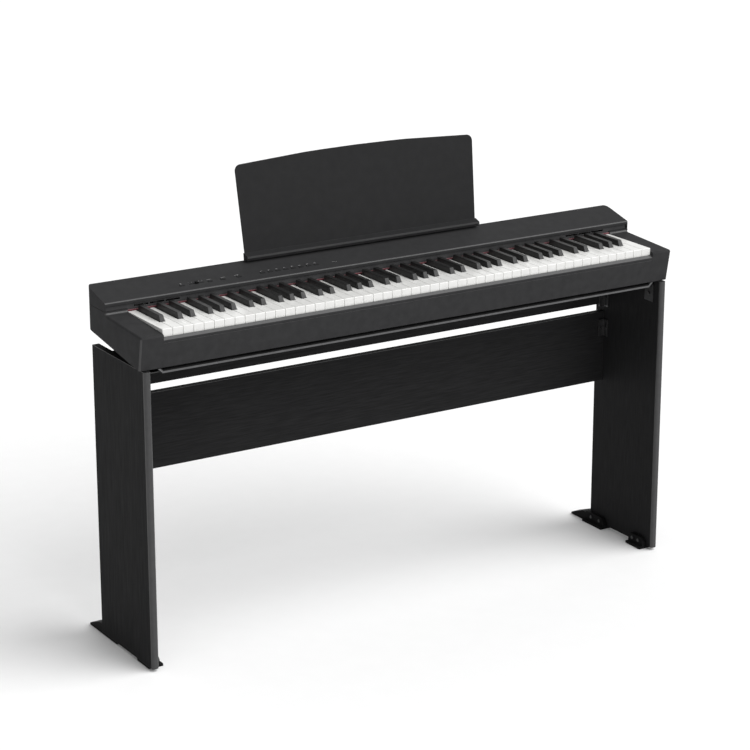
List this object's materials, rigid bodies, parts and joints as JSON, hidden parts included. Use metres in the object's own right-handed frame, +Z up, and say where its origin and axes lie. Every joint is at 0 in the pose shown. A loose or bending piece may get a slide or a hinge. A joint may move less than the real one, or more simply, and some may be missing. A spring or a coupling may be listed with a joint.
{
  "type": "digital piano on stand",
  "caption": "Slim digital piano with a full weighted keyboard, a control panel and a music rest, on a board stand with side panels, a back panel and feet.",
  "frame": {"origin": "on the floor, under the middle of the whole object", "axes": "+X to the player's right along the keyboard, +Y away from the player, +Z up"},
  "size_m": [1.326, 0.302, 0.9861],
  "materials": {
    "case_plastic": "fine-grained black moulded plastic",
    "rest_plastic": "fine-grained black moulded plastic",
    "board_laminate": "black laminate with a faint grain on particle board",
    "foot_plastic": "plain black moulded plastic",
    "black_steel": "black painted steel",
    "red_felt": "dark red felt",
    "frame_plastic": "dark grey moulded plastic",
    "circuit_board": "green solder resist",
    "speaker": "black paper cone in a dark basket",
    "socket_plastic": "black plastic sockets",
    "rubber": "matt black rubber",
    "control_plastic": "smooth black plastic",
    "white_key": "satin white key plastic",
    "black_key": "matt black key plastic with a fine texture"
  },
  "bodies": {
    "case_and_stand": {"left_side_board": "board_laminate", "right_side_board": "board_laminate", "back_panel": "board_laminate", "upper_rail": "board_laminate", "rear_feet": "foot_plastic", "front_feet": "foot_plastic", "stand_brackets": "black_steel", "stand_screws": "black_steel", "lower_case": "case_plastic", "front_rail": "case_plastic", "left_end_block": "case_plastic", "right_end_block": "case_plastic", "control_panel": "case_plastic", "sound_slot_strip": "case_plastic", "key_felt": "red_felt", "key_frame": "frame_plastic", "circuit_boards": "circuit_board", "speakers": "speaker", "rear_panel": "case_plastic", "rear_sockets": "socket_plastic", "rubber_feet": "rubber", "case_screws": "black_steel"},
    "music_rest": {"music_rest": "rest_plastic"},
    "volume_knob": {"volume_knob": "control_plastic"},
    "power_button": {"power_button": "control_plastic"},
    "function_button": {"function_button": "control_plastic"},
    "metronome_button": {"metronome_button": "control_plastic"},
    "record_button": {"record_button": "control_plastic"},
    "sound_button_1": {"sound_button_1": "control_plastic"},
    "sound_button_2": {"sound_button_2": "control_plastic"},
    "sound_button_3": {"sound_button_3": "control_plastic"},
    "sound_button_4": {"sound_button_4": "control_plastic"},
    "sound_button_5": {"sound_button_5": "control_plastic"},
    "sound_button_6": {"sound_button_6": "control_plastic"},
    "sound_button_7": {"sound_button_7": "control_plastic"},
    "sound_button_8": {"sound_button_8": "control_plastic"},
    "octave_1_keys": {"octave_1_white_keys": "white_key", "octave_1_black_keys": "black_key"},
    "octave_2_keys": {"octave_2_white_keys": "white_key", "octave_2_black_keys": "black_key"},
    "octave_3_keys": {"octave_3_white_keys": "white_key", "octave_3_black_keys": "black_key"},
    "key_c4": {"key_c4": "white_key"},
    "key_c_sharp4": {"key_c_sharp4": "black_key"},
    "key_d4": {"key_d4": "white_key"},
    "key_d_sharp4": {"key_d_sharp4": "black_key"},
    "key_e4": {"key_e4": "white_key"},
    "key_f4": {"key_f4": "white_key"},
    "key_f_sharp4": {"key_f_sharp4": "black_key"},
    "key_g4": {"key_g4": "white_key"},
    "key_g_sharp4": {"key_g_sharp4": "black_key"},
    "key_a4": {"key_a4": "white_key"},
    "key_a_sharp4": {"key_a_sharp4": "black_key"},
    "key_b4": {"key_b4": "white_key"},
    "octave_5_keys": {"octave_5_white_keys": "white_key", "octave_5_black_keys": "black_key"},
    "octave_6_keys": {"octave_6_white_keys": "white_key", "octave_6_black_keys": "black_key"},
    "octave_7_keys": {"octave_7_white_keys": "white_key", "octave_7_black_keys": "black_key"}
  },
  "joints": [
    {"name": "music_rest_lift", "type": "slide", "parent": "case_and_stand", "child": "music_rest", "axis": [0, 0.1392, 0.9903], "range_m": [0, 0.03]},
    {"name": "volume_slide", "type": "slide", "parent": "case_and_stand", "child": "volume_knob", "axis": [1, 0, 0], "range_m": [-0.015, 0.015]},
    {"name": "power_button_press", "type": "slide", "parent": "case_and_stand", "child": "power_button", "axis": [0, 0.2504, -0.9681], "range_m": [0, 0.001], "stiffness_N_per_m": 300, "springref_m": -0.001},
    {"name": "function_button_press", "type": "slide", "parent": "case_and_stand", "child": "function_button", "axis": [0, 0.2504, -0.9681], "range_m": [0, 0.001], "stiffness_N_per_m": 300, "springref_m": -0.001},
    {"name": "metronome_button_press", "type": "slide", "parent": "case_and_stand", "child": "metronome_button", "axis": [0, 0.2504, -0.9681], "range_m": [0, 0.001], "stiffness_N_per_m": 300, "springref_m": -0.001},
    {"name": "record_button_press", "type": "slide", "parent": "case_and_stand", "child": "record_button", "axis": [0, 0.2504, -0.9681], "range_m": [0, 0.001], "stiffness_N_per_m": 300, "springref_m": -0.001},
    {"name": "sound_button_1_press", "type": "slide", "parent": "case_and_stand", "child": "sound_button_1", "axis": [0, 0.2504, -0.9681], "range_m": [0, 0.001], "stiffness_N_per_m": 300, "springref_m": -0.001},
    {"name": "sound_button_2_press", "type": "slide", "parent": "case_and_stand", "child": "sound_button_2", "axis": [0, 0.2504, -0.9681], "range_m": [0, 0.001], "stiffness_N_per_m": 300, "springref_m": -0.001},
    {"name": "sound_button_3_press", "type": "slide", "parent": "case_and_stand", "child": "sound_button_3", "axis": [0, 0.2504, -0.9681], "range_m": [0, 0.001], "stiffness_N_per_m": 300, "springref_m": -0.001},
    {"name": "sound_button_4_press", "type": "slide", "parent": "case_and_stand", "child": "sound_button_4", "axis": [0, 0.2504, -0.9681], "range_m": [0, 0.001], "stiffness_N_per_m": 300, "springref_m": -0.001},
    {"name": "sound_button_5_press", "type": "slide", "parent": "case_and_stand", "child": "sound_button_5", "axis": [0, 0.2504, -0.9681], "range_m": [0, 0.001], "stiffness_N_per_m": 300, "springref_m": -0.001},
    {"name": "sound_button_6_press", "type": "slide", "parent": "case_and_stand", "child": "sound_button_6", "axis": [0, 0.2504, -0.9681], "range_m": [0, 0.001], "stiffness_N_per_m": 300, "springref_m": -0.001},
    {"name": "sound_button_7_press", "type": "slide", "parent": "case_and_stand", "child": "sound_button_7", "axis": [0, 0.2504, -0.9681], "range_m": [0, 0.001], "stiffness_N_per_m": 300, "springref_m": -0.001},
    {"name": "sound_button_8_press", "type": "slide", "parent": "case_and_stand", "child": "sound_button_8", "axis": [0, 0.2504, -0.9681], "range_m": [0, 0.001], "stiffness_N_per_m": 300, "springref_m": -0.001},
    {"name": "octave_1_keys_tilt", "type": "hinge", "parent": "case_and_stand", "child": "octave_1_keys", "pos_m": [-0.50525, 0.066, 0.712], "axis": [1, 0, 0], "range_deg": [0, 2.7], "stiffness_Nm_per_rad": 7.5, "springref_deg": -14.9},
    {"name": "octave_2_keys_tilt", "type": "hinge", "parent": "case_and_stand", "child": "octave_2_keys", "pos_m": [-0.31725, 0.066, 0.712], "axis": [1, 0, 0], "range_deg": [0, 2.7], "stiffness_Nm_per_rad": 6, "springref_deg": -14.9},
    {"name": "octave_3_keys_tilt", "type": "hinge", "parent": "case_and_stand", "child": "octave_3_keys", "pos_m": [-0.15275, 0.066, 0.712], "axis": [1, 0, 0], "range_deg": [0, 2.7], "stiffness_Nm_per_rad": 6, "springref_deg": -14.9},
    {"name": "key_c4_tilt", "type": "hinge", "parent": "case_and_stand", "child": "key_c4", "pos_m": [-0.06345, 0.066, 0.712], "axis": [1, 0, 0], "range_deg": [0, 2.7], "stiffness_Nm_per_rad": 0.5, "springref_deg": -14.9},
    {"name": "key_c_sharp4_tilt", "type": "hinge", "parent": "case_and_stand", "child": "key_c_sharp4", "pos_m": [-0.04935, 0.066, 0.712], "axis": [1, 0, 0], "range_deg": [0, 2.7], "stiffness_Nm_per_rad": 0.5, "springref_deg": -14.9},
    {"name": "key_d4_tilt", "type": "hinge", "parent": "case_and_stand", "child": "key_d4", "pos_m": [-0.03525, 0.066, 0.712], "axis": [1, 0, 0], "range_deg": [0, 2.7], "stiffness_Nm_per_rad": 0.5, "springref_deg": -14.9},
    {"name": "key_d_sharp4_tilt", "type": "hinge", "parent": "case_and_stand", "child": "key_d_sharp4", "pos_m": [-0.02115, 0.066, 0.712], "axis": [1, 0, 0], "range_deg": [0, 2.7], "stiffness_Nm_per_rad": 0.5, "springref_deg": -14.9},
    {"name": "key_e4_tilt", "type": "hinge", "parent": "case_and_stand", "child": "key_e4", "pos_m": [-0.00705, 0.066, 0.712], "axis": [1, 0, 0], "range_deg": [0, 2.7], "stiffness_Nm_per_rad": 0.5, "springref_deg": -14.9},
    {"name": "key_f4_tilt", "type": "hinge", "parent": "case_and_stand", "child": "key_f4", "pos_m": [0.00671, 0.066, 0.712], "axis": [1, 0, 0], "range_deg": [0, 2.7], "stiffness_Nm_per_rad": 0.5, "springref_deg": -14.9},
    {"name": "key_f_sharp4_tilt", "type": "hinge", "parent": "case_and_stand", "child": "key_f_sharp4", "pos_m": [0.02014, 0.066, 0.712], "axis": [1, 0, 0], "range_deg": [0, 2.7], "stiffness_Nm_per_rad": 0.5, "springref_deg": -14.9},
    {"name": "key_g4_tilt", "type": "hinge", "parent": "case_and_stand", "child": "key_g4", "pos_m": [0.03357, 0.066, 0.712], "axis": [1, 0, 0], "range_deg": [0, 2.7], "stiffness_Nm_per_rad": 0.5, "springref_deg": -14.9},
    {"name": "key_g_sharp4_tilt", "type": "hinge", "parent": "case_and_stand", "child": "key_g_sharp4", "pos_m": [0.047, 0.066, 0.712], "axis": [1, 0, 0], "range_deg": [0, 2.7], "stiffness_Nm_per_rad": 0.5, "springref_deg": -14.9},
    {"name": "key_a4_tilt", "type": "hinge", "parent": "case_and_stand", "child": "key_a4", "pos_m": [0.06043, 0.066, 0.712], "axis": [1, 0, 0], "range_deg": [0, 2.7], "stiffness_Nm_per_rad": 0.5, "springref_deg": -14.9},
    {"name": "key_a_sharp4_tilt", "type": "hinge", "parent": "case_and_stand", "child": "key_a_sharp4", "pos_m": [0.07386, 0.066, 0.712], "axis": [1, 0, 0], "range_deg": [0, 2.7], "stiffness_Nm_per_rad": 0.5, "springref_deg": -14.9},
    {"name": "key_b4_tilt", "type": "hinge", "parent": "case_and_stand", "child": "key_b4", "pos_m": [0.08729, 0.066, 0.712], "axis": [1, 0, 0], "range_deg": [0, 2.7], "stiffness_Nm_per_rad": 0.5, "springref_deg": -14.9},
    {"name": "octave_5_keys_tilt", "type": "hinge", "parent": "case_and_stand", "child": "octave_5_keys", "pos_m": [0.17625, 0.066, 0.712], "axis": [1, 0, 0], "range_deg": [0, 2.7], "stiffness_Nm_per_rad": 6, "springref_deg": -14.9},
    {"name": "octave_6_keys_tilt", "type": "hinge", "parent": "case_and_stand", "child": "octave_6_keys", "pos_m": [0.34075, 0.066, 0.712], "axis": [1, 0, 0], "range_deg": [0, 2.7], "stiffness_Nm_per_rad": 6, "springref_deg": -14.9},
    {"name": "octave_7_keys_tilt", "type": "hinge", "parent": "case_and_stand", "child": "octave_7_keys", "pos_m": [0.517, 0.066, 0.712], "axis": [1, 0, 0], "range_deg": [0, 2.7], "stiffness_Nm_per_rad": 6.5, "springref_deg": -14.9}
  ]
}
